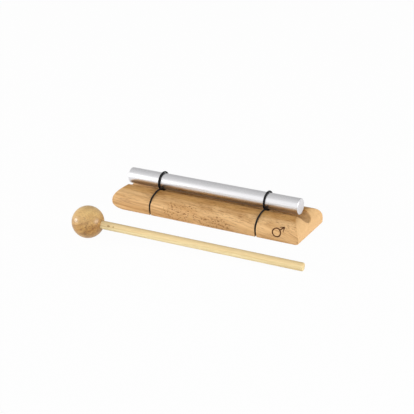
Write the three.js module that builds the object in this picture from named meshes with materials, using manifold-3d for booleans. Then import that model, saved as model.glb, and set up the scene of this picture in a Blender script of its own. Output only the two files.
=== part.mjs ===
// Energy chime: a tuned metal bar slung on two elastic cords over a grooved wooden resonator,
// with the mallet that strikes it lying in front.
// Millimetres, +Z up, +X along the bar. The origin is on the resonator's underside, on its middle line.

import * as THREE from 'three';
import { mergeVertices } from 'three/addons/utils/BufferGeometryUtils.js';
import Module from 'manifold-3d';

const wasm = await Module();
wasm.setup();

// Chime bar: the length and diameter set its note.
const barLength = 165;
const barDiameter = 14;
const barEdgeChamfer = 0.5;
const barNudge = -2;

// Resonator base: a low dome with a half-round groove along its top.
const baseOverhang = 9;
const baseWidth = 55;
const baseHeight = 17.9;
const lowerRoundWidth = 2;
const lowerRoundHeight = 7.9;
const grooveSideGap = 1.5;
const grooveFloor = 11;
const lipWidth = 1.2;

// Ends of the base: each has a rounded foot and rolls over towards the top.
// The left end is trimmed shorter than the right one, whose back corner stands behind its front one.
const leftTrim = 2.7;
const leftRoll = 11.2;
const leftRollAbove = 1.3;
const leftFootHeight = 6.5;
const leftFootReach = 12;
const rightRoll = 13.5;
const rightRollAbove = 0.6;
const rightFootHeight = 3;
const rightFootReach = 4;
const rightSkew = 2.2;

// Elastic cords: each goes once round the base and once round the bar.
// Coming up the shoulder, a cord runs aside to its strand above the aside angle.
const cordDiameter = 1.8;
const cordInset = 40.4;
const cordShift = 1.3;
const strandSlope = 34;
const asideAngle = 60;
const turnGap = 0.5;
const cordSunkAtSide = 0.3;
const cordBendRadius = 5;
const cordAboveTable = 0.6;
const knotDiameter = 4.6;
const knotLength = 6.4;

// Mallet: a drilled ball glued on a round stick.
const ballDiameter = 27.1;
const stickDiameter = 7;
const stickReach = 187;
const stickEndRounding = 1.5;
const boreDepth = 16;
const malletGap = 51.4;
const malletShift = -69.7;
const malletHeading = 7;

// Clearances
const seatGap = 0.3;
const kerfSideGap = 0.3;
const kerfFloorGap = 0.25;
const pocketGap = 0.8;
const boreGap = 0.3;
const cutMargin = 5;

// Faceting
const roundSides = 48;
const profileSteps = 12;
const ballSides = 40;
const ballRings = 28;
const roundingSteps = 4;
const cordSides = 8;
const cordStep = 2.2;
const lipSteps = 3;
const turnSteps = 36;
const knotSides = 12;
const knotRings = 8;
const mergeTolerance = 1e-4;

// How a cord's gap to itself is measured: the points along it, and the nearest stretch that is left out.
const gapPoints = 400;
const gapSkipDiameters = 3;

// Places that follow from the sizes
const barRadius = barDiameter / 2;
const cordRadius = cordDiameter / 2;
const baseLength = barLength + 2 * baseOverhang;
const baseSide = baseWidth / 2;
const grooveHalf = barRadius + grooveSideGap;
const grooveDepth = baseHeight - grooveFloor;
const lipOuter = grooveHalf + lipWidth;
const cordLift = cordRadius + seatGap;
const cordBottomHeight = cordAboveTable + cordRadius;
const cordPlaces = [-1, 1].map((end) => end * (baseLength / 2 - cordInset) + cordShift);

// Each strand leaves its lip at the strand slope and touches the turn round the bar,
// which sets how high the bar hangs.
const slope = THREE.MathUtils.degToRad(strandSlope);
const turnRadius = barRadius + cordLift;
const barAboveLips = (cordLift + turnRadius - grooveHalf * Math.sin(slope)) / Math.cos(slope);
const barAxisHeight = baseHeight + barAboveLips;
const turnAngle = 2 * Math.PI + 2 * slope;
const turnShift = ((cordDiameter + turnGap) * turnAngle) / (2 * Math.PI);

const wood = new THREE.MeshStandardMaterial({ color: 0xd2a875, roughness: 0.55, metalness: 0 });
const aluminium = new THREE.MeshStandardMaterial({ color: 0xd8d8da, roughness: 0.3, metalness: 1 });
const elastic = new THREE.MeshStandardMaterial({ color: 0x17171a, roughness: 0.8, metalness: 0 });
const ballWood = new THREE.MeshStandardMaterial({ color: 0xc39a62, roughness: 0.35, metalness: 0 });
const stickWood = new THREE.MeshStandardMaterial({ color: 0xe6d09c, roughness: 0.5, metalness: 0 });

// Turns a closed geometry into a solid that can be joined and cut.
function toSolid(geometry) {
  const bare = geometry.clone();
  bare.deleteAttribute('normal');
  bare.deleteAttribute('uv');
  const merged = mergeVertices(bare, mergeTolerance);
  return new wasm.Manifold(new wasm.Mesh({
    numProp: 3,
    vertProperties: new Float32Array(merged.attributes.position.array),
    triVerts: new Uint32Array(merged.index.array),
  }));
}

// Turns a solid back into a geometry.
function toGeometry(solid) {
  const mesh = solid.getMesh();
  const geometry = new THREE.BufferGeometry();
  geometry.setAttribute('position', new THREE.BufferAttribute(mesh.vertProperties, 3));
  geometry.setIndex(new THREE.BufferAttribute(mesh.triVerts, 1));
  geometry.computeVertexNormals();
  return geometry;
}

function namedMesh(name, geometry, material) {
  const mesh = new THREE.Mesh(geometry, material);
  mesh.name = name;
  return mesh;
}

// Lays a geometry that was drawn in the XY plane and pulled along Z into the YZ plane, pulled along X.
function layAlongX(geometry) {
  const axes = new THREE.Matrix4().makeBasis(
    new THREE.Vector3(0, 1, 0),
    new THREE.Vector3(0, 0, 1),
    new THREE.Vector3(1, 0, 0),
  );
  return geometry.applyMatrix4(axes);
}

// The base's half width at each height, from the flat underside over the widest line to the lips.
function baseLevels() {
  const lowerCentre = baseSide - lowerRoundWidth;
  const levels = [];
  for (let i = 0; i <= profileSteps; i += 1) {
    const turn = (Math.PI / 2) * (i / profileSteps);
    levels.push({
      across: lowerCentre + lowerRoundWidth * Math.sin(turn),
      up: lowerRoundHeight * (1 - Math.cos(turn)),
    });
  }
  for (let i = 1; i <= profileSteps; i += 1) {
    const turn = (Math.PI / 2) * (i / profileSteps);
    levels.push({
      across: lipOuter + (baseSide - lipOuter) * Math.cos(turn),
      up: lowerRoundHeight + (baseHeight - lowerRoundHeight) * Math.sin(turn),
    });
  }
  return levels;
}

// How far a rounding steps back where it has turned by a share of its height.
function roundedBack(reach, share) {
  return reach * (1 - Math.sqrt(1 - share ** 2));
}

function leftReach(up) {
  const over = Math.max(0, up - (baseHeight + leftRollAbove - leftRoll));
  const under = Math.max(0, 1 - up / leftFootHeight);
  const back = roundedBack(leftRoll, over / leftRoll) + roundedBack(leftFootReach, under);
  return baseLength / 2 - leftTrim - back;
}

function rightReach(up, across) {
  const over = Math.max(0, up - (baseHeight + rightRollAbove - rightRoll));
  const under = Math.max(0, 1 - up / rightFootHeight);
  const back = roundedBack(rightRoll, over / rightRoll) + roundedBack(rightFootReach, under);
  return baseLength / 2 - rightSkew * (0.5 + across / baseWidth) - back;
}

// The base before any cut: a box whose outline changes as it rises from the underside to the lips.
function baseBlank() {
  const levels = baseLevels();
  const steps = levels.length - 1;
  const geometry = new THREE.BoxGeometry(2, 2, 1, 1, 1, steps);
  const position = geometry.attributes.position;
  for (let i = 0; i < position.count; i += 1) {
    const level = levels[Math.round((position.getZ(i) + 0.5) * steps)];
    const across = position.getY(i) * level.across;
    const along = position.getX(i) < 0 ? -leftReach(level.up) : rightReach(level.up, across);
    position.setXYZ(i, along, across, level.up);
  }
  return toSolid(geometry);
}

// The half-round groove under the bar, open at both ends.
function grooveCutter() {
  const radius = (grooveHalf ** 2 + grooveDepth ** 2) / (2 * grooveDepth);
  const geometry = new THREE.CylinderGeometry(radius, radius, baseLength + 2 * cutMargin, roundSides);
  geometry.rotateZ(Math.PI / 2);
  geometry.translate(0, 0, grooveFloor + radius);
  return toSolid(geometry);
}

// One half of a cord's way round the base, across and up, from the lip to the middle of the underside.
// The inward offset gives the kerf floor that runs along below the cord.
function halfRing(offset) {
  const sideReach = baseSide - cordSunkAtSide;
  const shoulderWidth = sideReach - lipOuter;
  const shoulderHeight = baseHeight + cordLift - lowerRoundHeight;
  const bendCentre = sideReach - cordBendRadius;
  const bendHeight = lowerRoundHeight - cordBottomHeight;
  const points = [];
  for (let i = 0; i <= profileSteps; i += 1) {
    const turn = (Math.PI / 2) * (1 - i / profileSteps);
    points.push({
      across: lipOuter + (shoulderWidth - offset) * Math.cos(turn),
      up: lowerRoundHeight + (shoulderHeight - offset) * Math.sin(turn),
      shoulderTurn: turn,
    });
  }
  for (let i = 1; i <= profileSteps; i += 1) {
    const turn = (Math.PI / 2) * (i / profileSteps);
    points.push({
      across: bendCentre + (cordBendRadius - offset) * Math.cos(turn),
      up: lowerRoundHeight - (bendHeight - offset) * Math.sin(turn),
      shoulderTurn: 0,
    });
  }
  return points;
}

// The saw kerf that lets one cord into the sides and the underside, and the pocket for its knot.
function cordCutter(cordX) {
  const half = halfRing(cordRadius + kerfFloorGap);
  const around = half.map((p) => new THREE.Vector2(p.across, p.up));
  const mirrored = half.map((p) => new THREE.Vector2(-p.across, p.up)).reverse();
  const outside = baseSide + cutMargin;
  const slab = new THREE.Shape([
    new THREE.Vector2(-outside, -cutMargin),
    new THREE.Vector2(outside, -cutMargin),
    new THREE.Vector2(outside, baseHeight + cutMargin),
    new THREE.Vector2(-outside, baseHeight + cutMargin),
  ]);
  slab.holes.push(new THREE.Path([...around, ...mirrored]));
  const kerfWidth = cordDiameter + 2 * kerfSideGap;
  const kerf = layAlongX(new THREE.ExtrudeGeometry(slab, { depth: kerfWidth, bevelEnabled: false }));
  kerf.translate(cordX - kerfWidth / 2, 0, 0);

  const pocketRadius = knotLength / 2 + pocketGap;
  const pocketTop = cordAboveTable + knotDiameter + pocketGap;
  const pocketCut = pocketTop + cutMargin;
  const pocket = new THREE.CylinderGeometry(pocketRadius, pocketRadius, pocketCut, roundSides / 2);
  pocket.rotateX(Math.PI / 2);
  pocket.translate(cordX, 0, (pocketTop - cutMargin) / 2);
  return toSolid(kerf).add(toSolid(pocket));
}

function resonatorBase() {
  let solid = baseBlank().subtract(grooveCutter());
  for (const cordX of cordPlaces) {
    solid = solid.subtract(cordCutter(cordX));
  }
  return namedMesh('resonator_base', toGeometry(solid), wood);
}

function chimeBar() {
  const end = barLength / 2;
  const profile = [
    new THREE.Vector2(0, -end),
    new THREE.Vector2(barRadius - barEdgeChamfer, -end),
    new THREE.Vector2(barRadius, -end + barEdgeChamfer),
    new THREE.Vector2(barRadius, end - barEdgeChamfer),
    new THREE.Vector2(barRadius - barEdgeChamfer, end),
    new THREE.Vector2(0, end),
  ];
  const geometry = new THREE.LatheGeometry(profile, roundSides);
  geometry.rotateZ(-Math.PI / 2);
  const mesh = namedMesh('chime_bar', geometry, aluminium);
  mesh.position.set(barNudge, 0, barAxisHeight);
  return mesh;
}

// A point of the straight strand between a lip and the bar, some way along it from the lip.
// Side is -1 in front and 1 behind. The bar takes both strands along to where it was nudged.
function strandPoint(cordX, side, way) {
  return new THREE.Vector3(
    cordX + barNudge - (side * turnShift) / 2,
    side * (grooveHalf - cordLift * Math.sin(slope) - way * Math.cos(slope)),
    baseHeight + cordLift * Math.cos(slope) - way * Math.sin(slope),
  );
}

// Half of the stretch that stays with the base: round the lip, down the shoulder and under.
function baseTurnHalf(cordX, side) {
  const asideFrom = THREE.MathUtils.degToRad(asideAngle);
  const atLip = barNudge - (side * turnShift) / 2;
  const points = [];
  for (let i = 0; i <= lipSteps; i += 1) {
    const turn = slope * (1 - i / lipSteps);
    points.push(new THREE.Vector3(
      cordX + atLip,
      side * (grooveHalf - cordLift * Math.sin(turn)),
      baseHeight + cordLift * Math.cos(turn),
    ));
  }
  for (const p of halfRing(0)) {
    const share = THREE.MathUtils.smoothstep(p.shoulderTurn, asideFrom, Math.PI / 2);
    points.push(new THREE.Vector3(cordX + share * atLip, side * p.across, p.up));
  }
  return points;
}

function baseTurnRoute(cordX) {
  const middle = new THREE.Vector3(cordX, 0, cordBottomHeight);
  return [...baseTurnHalf(cordX, -1), middle, ...baseTurnHalf(cordX, 1).reverse()];
}

// The stretch that moves with the bar: from the front lip under the bar, once round it, to the back lip.
function barTurnRoute(cordX) {
  const points = [strandPoint(cordX, -1, seatGap)];
  for (let i = 0; i <= turnSteps; i += 1) {
    const share = i / turnSteps;
    const angle = turnAngle * share - slope;
    points.push(new THREE.Vector3(
      cordX + barNudge + turnShift * (0.5 - share),
      turnRadius * Math.sin(angle),
      barAxisHeight - turnRadius * Math.cos(angle),
    ));
  }
  points.push(strandPoint(cordX, 1, seatGap));
  return points;
}

// The least clear distance between two stretches of one cord that lie apart along it.
function leastGap(curve) {
  const points = curve.getSpacedPoints(gapPoints);
  const apart = Math.ceil((gapSkipDiameters * cordDiameter) / (curve.getLength() / gapPoints));
  let least = Infinity;
  for (let i = 0; i < points.length; i += 1) {
    for (let j = i + apart; j < points.length; j += 1) {
      least = Math.min(least, points[i].distanceTo(points[j]));
    }
  }
  return least - cordDiameter;
}

function cordTube(route) {
  const curve = new THREE.CatmullRomCurve3(route);
  const section = new THREE.Shape();
  for (let i = 0; i < cordSides; i += 1) {
    const angle = (2 * Math.PI * i) / cordSides;
    const x = cordRadius * Math.cos(angle);
    const y = cordRadius * Math.sin(angle);
    if (i === 0) section.moveTo(x, y);
    else section.lineTo(x, y);
  }
  const steps = Math.round(curve.getLength() / cordStep);
  const geometry = new THREE.ExtrudeGeometry(section, { extrudePath: curve, steps, bevelEnabled: false });
  return { curve, geometry };
}

// One elastic cord in two stretches. The tied ends make the knot under the base.
function elasticCord(sideName, cordX) {
  const baseTurn = cordTube(baseTurnRoute(cordX));
  const knot = new THREE.SphereGeometry(0.5, knotSides, knotRings);
  knot.scale(knotDiameter, knotLength, knotDiameter);
  knot.translate(cordX, 0, cordAboveTable + knotDiameter / 2);
  const tied = toSolid(baseTurn.geometry).add(toSolid(knot));

  const barTurn = cordTube(barTurnRoute(cordX));
  console.log(`cord ${sideName}: least gap round the bar ${leastGap(barTurn.curve).toFixed(2)} mm`);
  return [
    namedMesh(`cord_${sideName}_base_turn`, toGeometry(tied), elastic),
    namedMesh(`cord_${sideName}_bar_turn`, toGeometry(toSolid(barTurn.geometry)), elastic),
  ];
}

// The mallet lies on the ball and on the lower edge of the stick's end.
function mallet() {
  const ballRadius = ballDiameter / 2;
  const stickRadius = stickDiameter / 2;
  const sphere = new THREE.SphereGeometry(ballRadius, ballSides, ballRings);
  const bore = new THREE.CylinderGeometry(
    stickRadius + boreGap, stickRadius + boreGap, boreDepth + cutMargin, roundSides / 2,
  );
  bore.translate(0, ballRadius - boreDepth + (boreDepth + cutMargin) / 2, 0);
  const ball = toGeometry(toSolid(sphere).subtract(toSolid(bore)));
  ball.rotateZ(-Math.PI / 2);

  const tip = ballRadius - boreDepth + boreGap;
  const straightEnd = stickReach - stickEndRounding;
  const profile = new THREE.Path();
  profile.moveTo(0, tip);
  profile.lineTo(stickRadius, tip);
  profile.lineTo(stickRadius, straightEnd);
  profile.absarc(stickRadius - stickEndRounding, straightEnd, stickEndRounding, 0, Math.PI / 2);
  profile.lineTo(0, stickReach);
  const stick = new THREE.LatheGeometry(profile.getPoints(roundingSteps), roundSides / 2);
  stick.rotateZ(-Math.PI / 2);

  const group = new THREE.Group();
  group.add(namedMesh('mallet_head', ball, ballWood));
  group.add(namedMesh('mallet_stick', stick, stickWood));
  const endDrop = ballRadius - stickRadius;
  group.rotation.set(0, Math.asin(endDrop / straightEnd), 0);
  const placed = new THREE.Group();
  placed.add(group);
  placed.rotation.set(0, 0, THREE.MathUtils.degToRad(malletHeading));
  placed.position.set(malletShift, -(baseSide + malletGap + ballRadius), ballRadius);
  return placed;
}

const chime = new THREE.Group();
chime.add(resonatorBase());
chime.add(chimeBar());
chime.add(...elasticCord('left', cordPlaces[0]));
chime.add(...elasticCord('right', cordPlaces[1]));
chime.add(mallet());

export default chime;
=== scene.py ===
import math

import bmesh
import bpy
from mathutils import Matrix, Vector


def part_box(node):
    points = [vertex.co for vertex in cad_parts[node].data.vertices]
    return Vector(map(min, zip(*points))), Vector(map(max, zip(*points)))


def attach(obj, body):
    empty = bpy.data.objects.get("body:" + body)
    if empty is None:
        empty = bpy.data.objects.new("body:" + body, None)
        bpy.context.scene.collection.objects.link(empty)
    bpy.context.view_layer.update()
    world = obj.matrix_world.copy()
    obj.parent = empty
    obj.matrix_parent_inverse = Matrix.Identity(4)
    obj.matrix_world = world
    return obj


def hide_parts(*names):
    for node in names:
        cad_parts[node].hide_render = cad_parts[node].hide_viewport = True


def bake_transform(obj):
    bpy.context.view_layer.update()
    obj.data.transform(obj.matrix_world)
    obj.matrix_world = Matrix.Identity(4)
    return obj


bl_info = {
    "name": "Energy chime",
    "version": (1, 0, 0),
    "blender": (4, 5, 0),
    "location": "View3D > Sidebar > Chime",
    "description": "Finished surfaces of an energy chime: wooden base, slung bar, elastic cords and mallet",
    "category": "Add Mesh",
}

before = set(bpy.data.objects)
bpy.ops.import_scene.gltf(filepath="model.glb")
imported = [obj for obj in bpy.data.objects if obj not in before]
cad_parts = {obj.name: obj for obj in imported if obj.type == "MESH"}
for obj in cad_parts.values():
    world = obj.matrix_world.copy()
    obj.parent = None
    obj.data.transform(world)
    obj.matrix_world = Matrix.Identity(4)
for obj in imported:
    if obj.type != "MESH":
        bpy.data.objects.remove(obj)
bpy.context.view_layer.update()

# Sizes below are metres. A length that is given as a number is written in millimetres times MM.
MM = 0.001
BASE_LOW, BASE_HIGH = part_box("resonator_base")
BAR_LOW, BAR_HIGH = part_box("chime_bar")
BALL_LOW, BALL_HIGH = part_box("mallet_head")
BAR_CENTRE = (BAR_LOW + BAR_HIGH) / 2
BAR_RADIUS = (BAR_HIGH.z - BAR_LOW.z) / 2
BALL_RADIUS = (BALL_HIGH.y - BALL_LOW.y) / 2
BALL_CENTRE = Vector((BALL_LOW.x + BALL_RADIUS, (BALL_LOW.y + BALL_HIGH.y) / 2, BALL_RADIUS))
X_AXIS = Vector((1, 0, 0))
Y_AXIS = Vector((0, 1, 0))
Z_AXIS = Vector((0, 0, 1))

# Edges that turn more than this stay crisp when a surface is shaded smooth.
CRISP_ANGLE = math.radians(38)


# Settings

def size_property(name, description, default):
    """A length in metres that a user may change."""
    return bpy.props.FloatProperty(
        name=name, description=description, default=default, unit="LENGTH", precision=5,
    )


def angle_property(name, description, degrees):
    """An angle that a user may change."""
    return bpy.props.FloatProperty(
        name=name, description=description, default=math.radians(degrees), subtype="ANGLE",
    )


def colour_property(name, description, red, green, blue):
    """A colour that a user may change, given as it looks on a screen, from 0 to 255."""
    def linear(value):
        share = value / 255
        return share / 12.92 if share <= 0.04045 else ((share + 0.055) / 1.055) ** 2.4
    return bpy.props.FloatVectorProperty(
        name=name, description=description, subtype="COLOR", min=0, max=1,
        default=(linear(red), linear(green), linear(blue)),
    )


class ChimeBaseSettings(bpy.types.PropertyGroup):
    """Sizes and colours of the wooden base."""
    width: size_property("Width", "Width across the base", BASE_HIGH.y - BASE_LOW.y)
    height: size_property("Height", "Height of the groove's lips", BASE_HIGH.z)
    lower_round_width: size_property("Lower round width", "How far the lower edges round in", 2.0 * MM)
    lower_round_height: size_property("Lower round height", "Height where the sides are widest", 7.9 * MM)
    left_reach: size_property("Left reach", "From the middle to the left end", 88.8 * MM)
    left_roll: size_property("Left roll", "Radius of the roll from the left end to the top", 11.2 * MM)
    left_centre: size_property("Left centre", "Height about which the left end rolls over", 8 * MM)
    left_foot_height: size_property("Left foot height", "Height of the left foot's rounding", 6.5 * MM)
    left_foot_reach: size_property("Left foot reach", "How far the left foot rounds in", 12 * MM)
    left_skew: size_property("Left skew", "Set-back of the left end's back corner", 0)
    right_reach: size_property("Right reach", "From the middle to the right end", 91.5 * MM)
    right_roll: size_property("Right roll", "Radius of the roll from the right end to the top", 13.5 * MM)
    right_centre: size_property("Right centre", "Height about which the right end rolls over", 5 * MM)
    right_foot_height: size_property("Right foot height", "Height of the right foot's rounding", 3 * MM)
    right_foot_reach: size_property("Right foot reach", "How far the right foot rounds in", 4 * MM)
    right_skew: size_property("Right skew", "Set-back of the right end's back corner", 2.2 * MM)
    groove_half: size_property("Groove half width", "Half the groove's width between its lips", 8.5 * MM)
    groove_floor: size_property("Groove floor", "Height of the groove's floor", 11 * MM)
    lip_width: size_property("Lip width", "Flat strip beside the groove", 1.2 * MM)
    edge_softness: size_property("Edge softness", "Rounding of the crisp edges", 0.45 * MM)
    kerf_width: size_property("Kerf width", "Width of the saw cuts that take the cords", 1.7 * MM)
    pocket_radius: size_property("Pocket radius", "Radius of the knot pockets underneath", 4.0 * MM)
    pocket_depth: size_property("Pocket depth", "Depth of the knot pockets underneath", 6.0 * MM)
    light_wood: colour_property("Light wood", "Pale growth of the base", 228, 188, 136)
    dark_wood: colour_property("Dark wood", "Dark growth of the base", 196, 152, 100)
    pore_wood: colour_property("Pores", "Open pores of the base", 120, 76, 42)
    end_wood: colour_property("End wood", "Sanded end grain of the base", 225, 184, 131)
    # Painted shade: this tint darkens and warms the wood along the groove's lips, under the bar.
    painted_lip_shade: colour_property("Lip tint", "Tint of the wood along the groove's lips", 234, 219, 182)
    burnt_wood: colour_property("Burnt wood", "Burnt lines of the sign", 108, 66, 34)


class ChimeSignSettings(bpy.types.PropertyGroup):
    """Place and size of the burnt planet sign."""
    along: size_property("Along", "Place of the circle along the base", 71.6 * MM)
    up: size_property("Up", "Place of the circle above the widest line of the front", 0.55 * MM)
    radius: size_property("Radius", "Radius of the circle's line", 3.65 * MM)
    reach: size_property("Reach", "From the circle's centre to the arrow's tip", 8.4 * MM)
    line_width: size_property("Line width", "Width of the burnt lines", 1.2 * MM)
    depth: size_property("Depth", "Depth of the burnt lines", 0.35 * MM)
    barb: size_property("Barb", "Length of the arrow's barbs", 4.4 * MM)
    heading: angle_property("Heading", "Direction of the arrow above the level", 43.4)
    upper_spread: angle_property("Upper spread", "Angle of the upper barb from the shaft", 31)
    lower_spread: angle_property("Lower spread", "Angle of the lower barb from the shaft", 44)
    taper: bpy.props.FloatProperty(
        name="Taper", description="Width of a barb's end as a share of the line width", default=0.4,
    )


class ChimeBarSettings(bpy.types.PropertyGroup):
    """Finish of the metal bar."""
    edge_softness: size_property("Edge softness", "Rounding of the bar's ends", 0.5 * MM)
    metal: colour_property("Metal", "Colour of the satin aluminium", 239, 238, 240)


class ChimeCordSettings(bpy.types.PropertyGroup):
    """Sizes and colour of the elastic cords."""
    diameter: size_property("Diameter", "Thickness of a cord", 1.5 * MM)
    half_span: size_property("Half span", "Half the distance between the two kerfs", 51.1 * MM)
    shift: size_property("Shift", "How far both kerfs sit to the right of even places", 0.9 * MM)
    loop_shift: size_property("Loop shift", "From a kerf to the cord's turn round the bar", -1.6 * MM)
    fullness: bpy.props.FloatProperty(
        name="Fullness", description="How much a cord bulges over the shoulder; 1 is an ellipse", default=1.1,
    )
    sunk_at_side: size_property("Sunk at the side", "Depth of a cord's middle at the widest line", 0.7 * MM)
    bend_radius: size_property("Lower bend", "Bend of a cord round the lower edges", 3.4 * MM)
    above_table: size_property("Above the table", "Clear space below a cord underneath", 0.3 * MM)
    turn_gap: size_property("Turn gap", "Space between a cord's two passes under the bar", 0.5 * MM)
    bar_gap: size_property("Bar gap", "Space between a cord's turn and the bar", 0.13 * MM)
    extra_wrap: angle_property("Extra wrap", "How much further than a taut cord the turn follows the bar", 12)
    aside_angle: angle_property("Aside angle", "Where a cord leaves its kerf on the shoulder", 50)
    stitch: size_property("Stitch", "Length of one stitch of the braid", 0.9 * MM)
    relief: size_property("Relief", "How far the stitches stand out", 0.055 * MM)
    yarn: colour_property("Yarn", "Colour of the braid", 17, 17, 18)


class ChimeMalletSettings(bpy.types.PropertyGroup):
    """Sizes and colours of the mallet."""
    stick_radius: size_property("Stick radius", "Half the stick's thickness", 3.5 * MM)
    stick_reach: size_property("Stick reach", "From the ball's middle to the stick's far end", 187 * MM)
    stick_rounding: size_property("Stick rounding", "Rounding of the stick's far end", 1.5 * MM)
    bore_depth: size_property("Bore depth", "How deep the stick sits in the ball", 16 * MM)
    rim_softness: size_property("Rim softness", "Rounding of the bore's rim", 0.5 * MM)
    heading: angle_property("Heading", "Turn of the stick away from the bar's direction", 7)
    # Painted light: this tint lightens the ball's top and foot.
    painted_light_ball: colour_property("Pale ball", "Tint that lightens the ball's top and foot", 172, 140, 94)
    light_ball: colour_property("Light ball", "Pale growth of the ball", 201, 159, 94)
    dark_ball: colour_property("Dark ball", "Dark growth of the ball", 167, 122, 64)
    # Painted shade: this tint darkens the ball low down on its right, beside the stick, where shade falls.
    painted_shade_ball: colour_property("Ball shade", "Tint of the darker growth beside the stick", 240, 232, 218)
    pore_ball: colour_property("Ball pores", "Open pores of the ball", 110, 73, 36)
    light_stick: colour_property("Light stick", "Pale growth of the stick", 234, 218, 174)
    dark_stick: colour_property("Dark stick", "Dark growth of the stick", 219, 198, 150)
    pore_stick: colour_property("Stick pores", "Fine dark lines of the stick", 186, 152, 98)
    # Painted shade: this colour darkens the stick along its top, where less light falls.
    painted_shade_stick: colour_property("Stick top", "Darker growth along the stick's top", 224, 196, 146)
    mark_stick: colour_property("Stick marks", "Small marks beside the ball", 140, 104, 62)


SETTINGS = {
    "chime_base": ChimeBaseSettings,
    "chime_sign": ChimeSignSettings,
    "chime_bar": ChimeBarSettings,
    "chime_cords": ChimeCordSettings,
    "chime_mallet": ChimeMalletSettings,
}


# Shapes

def elliptic_arc(centre, radii, start, end, steps, fullness=1.0):
    """Points of an arc, across and up, with its angles in degrees. A fuller arc bulges at its corner."""
    points = []
    for i in range(steps + 1):
        angle = math.radians(start + (end - start) * i / steps)
        across = math.cos(angle)
        up = math.sin(angle)
        bulge = (abs(across) ** (2 * fullness) + abs(up) ** (2 * fullness)) ** (-0.5 / fullness)
        points.append((centre[0] + radii[0] * bulge * across, centre[1] + radii[1] * bulge * up))
    return points


def object_from(bm, name):
    """A linked object that holds the bmesh."""
    mesh = bpy.data.meshes.new(name)
    bm.to_mesh(mesh)
    bm.free()
    piece = bpy.data.objects.new(name, mesh)
    bpy.context.scene.collection.objects.link(piece)
    return piece


def shade_smooth(piece):
    """Shades a piece smooth, with its sharp edges crisp."""
    bm = bmesh.new()
    bm.from_mesh(piece.data)
    for face in bm.faces:
        face.smooth = True
    for edge in bm.edges:
        edge.smooth = edge.is_manifold and edge.calc_face_angle() < CRISP_ANGLE
    bm.to_mesh(piece.data)
    bm.free()


def dress(piece, material, slot, *nodes):
    """Gives a finished piece its material, and hides the CAD parts that it stands for."""
    if not piece.data.materials:
        piece.data.materials.append(material)
    if nodes:
        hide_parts(*nodes)
    return piece


def cut_away(block, cutter):
    """Cuts the cutter's shape out of the block. New faces keep the cutter's material."""
    cutting = block.modifiers.new("cut", "BOOLEAN")
    cutting.operation = "DIFFERENCE"
    cutting.solver = "EXACT"
    cutting.material_mode = "TRANSFER"
    cutting.object = cutter
    whole = bpy.context.evaluated_depsgraph_get()
    mesh = bpy.data.meshes.new_from_object(block.evaluated_get(whole))
    block.modifiers.clear()
    block.data = mesh
    bpy.data.objects.remove(cutter)


def pull_through(bm, face, matrices):
    """Pulls a face through a row of places, and leaves walls between them."""
    bmesh.ops.transform(bm, matrix=matrices[0], verts=face.verts)
    start = face
    for last, following in zip(matrices, matrices[1:]):
        made = bmesh.ops.extrude_face_region(bm, geom=[face])["geom"]
        front = next(item for item in made if isinstance(item, bmesh.types.BMFace))
        bmesh.ops.transform(bm, matrix=following @ last.inverted(), verts=front.verts)
        if face is not start:
            bmesh.ops.delete(bm, geom=[face], context="FACES_ONLY")
        face = front
    bmesh.ops.recalc_face_normals(bm, faces=bm.faces)


# Resonator base

SECTION_STEPS = 24
GROOVE_SIDES = 128
POCKET_SIDES = 48

# How far the groove's cutter stands past the ends, and how much larger a kerf's cutter is than its floor.
CUT_MARGIN = 5 * MM
KERF_SPREAD = 1.6

# A kerf is this much deeper than the cord that lies in it.
KERF_CLEARANCE = 0.05 * MM

# A face whose normal lies less than the first along X is a side, and one past the second is an end.
SIDE_TILT = 0.1
END_TILT = 0.25


def lip_outer(base):
    return base.groove_half + base.lip_width


def half_section(base, steps):
    """The base's section from the underside up to the lip, on one side, across and up."""
    low = base.lower_round_height
    lower_centre = base.width / 2 - base.lower_round_width
    shoulder = (base.width / 2 - lip_outer(base), base.height - low)
    lower = elliptic_arc((lower_centre, low), (base.lower_round_width, low), -90, 0, steps)
    upper = elliptic_arc((lip_outer(base), low), shoulder, 0, 90, steps)
    return lower + upper[1:]


def end_reach(base, end, across, up):
    """How far an end stands out at a place on it. Its foot is rounded, and it rolls over towards the top."""
    side = "left" if end < 0 else "right"
    words = ("reach", "roll", "centre", "foot_height", "foot_reach", "skew")
    reach, roll, centre, foot_height, foot_reach, skew = (getattr(base, f"{side}_{word}") for word in words)
    foot = max(0, 1 - up / foot_height)
    over = max(0, up - centre)
    foot_back = foot_reach * (1 - math.sqrt(1 - foot * foot))
    roll_back = roll - math.sqrt(roll * roll - over * over)
    return reach - foot_back - roll_back - skew * (0.5 + across / base.width)


def base_blank(base):
    """The block before any cut. Its outline changes as it rises from the foot to the lips."""
    bm = bmesh.new()
    corners = ((-1, -1), (1, -1), (1, 1), (-1, 1))
    face = bm.faces.new([bm.verts.new((along, across, 0)) for along, across in corners])
    levels = []
    for across, up in half_section(base, SECTION_STEPS):
        levels.append(Matrix.Translation((0, 0, up)) @ Matrix.Diagonal((1, across, 1, 1)))
    pull_through(bm, face, levels)
    for vert in bm.verts:
        vert.co.x *= end_reach(base, vert.co.x, vert.co.y, vert.co.z)
    return object_from(bm, "base_block")


def groove_cutter(base):
    depth = base.height - base.groove_floor
    radius = (base.groove_half ** 2 + depth ** 2) / (2 * depth)
    reach = max(base.left_reach, base.right_reach) + CUT_MARGIN
    bm = bmesh.new()
    lie = Matrix.Translation((0, 0, base.groove_floor + radius)) @ Matrix.Rotation(math.pi / 2, 4, "Y")
    bmesh.ops.create_cone(
        bm, cap_ends=True, segments=GROOVE_SIDES, radius1=radius, radius2=radius, depth=2 * reach, matrix=lie,
    )
    return object_from(bm, "groove_cutter")


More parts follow.
